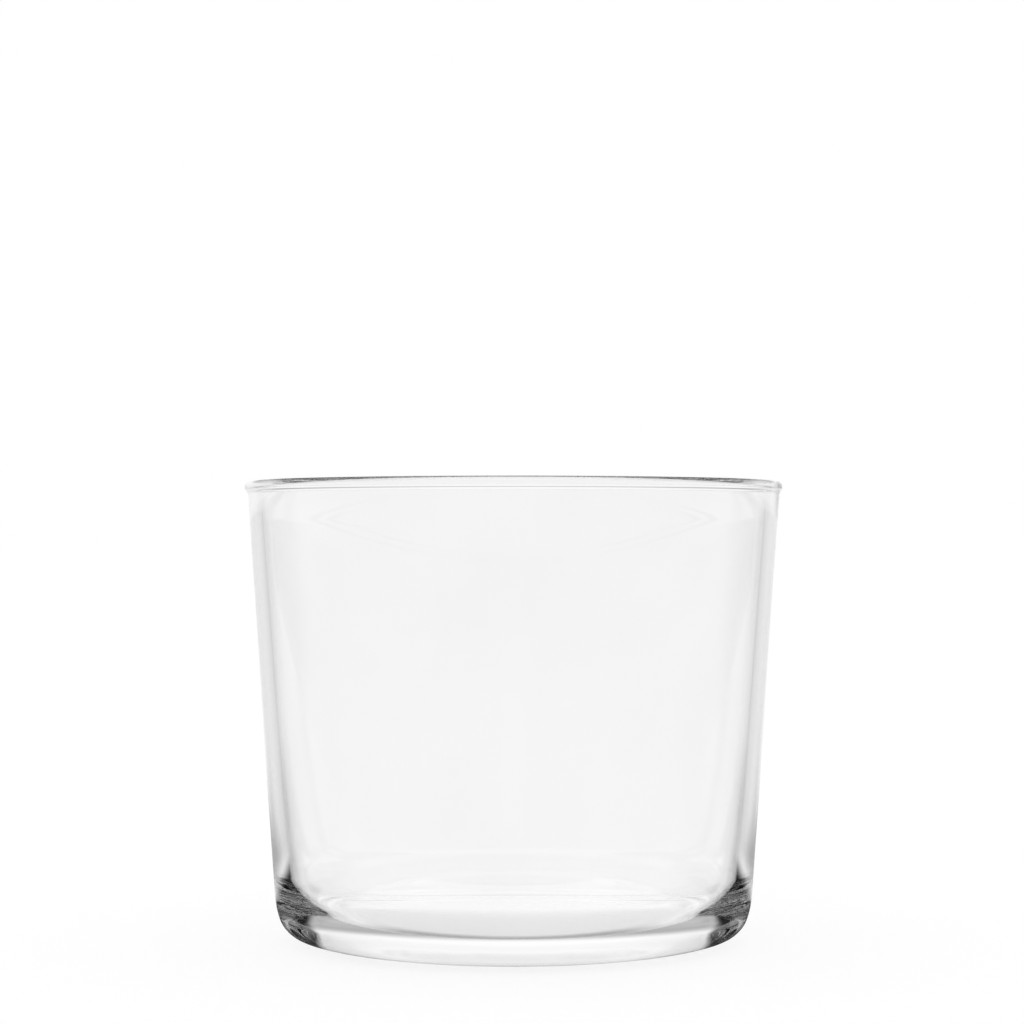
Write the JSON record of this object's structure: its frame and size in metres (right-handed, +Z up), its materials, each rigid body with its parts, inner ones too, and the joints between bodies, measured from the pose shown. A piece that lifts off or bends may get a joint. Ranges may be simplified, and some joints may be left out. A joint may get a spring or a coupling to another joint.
{
  "type": "cider glass",
  "caption": "Low, wide, slightly tapered clear glass tumbler with a rounded heel, a plain base that stands on a narrow ring and a fire-polished lip, for drinking cider.",
  "frame": {"origin": "centre of the base, on the table", "axes": "+Z up along the glass's axis, towards the lip; the glass is round, so +X and +Y are free"},
  "size_m": [0.09, 0.09, 0.077],
  "materials": {
    "clear_glass": "clear soda-lime glass, fire-polished"
  },
  "bodies": {
    "root": {"tumbler": "clear_glass"}
  },
  "joints": []
}
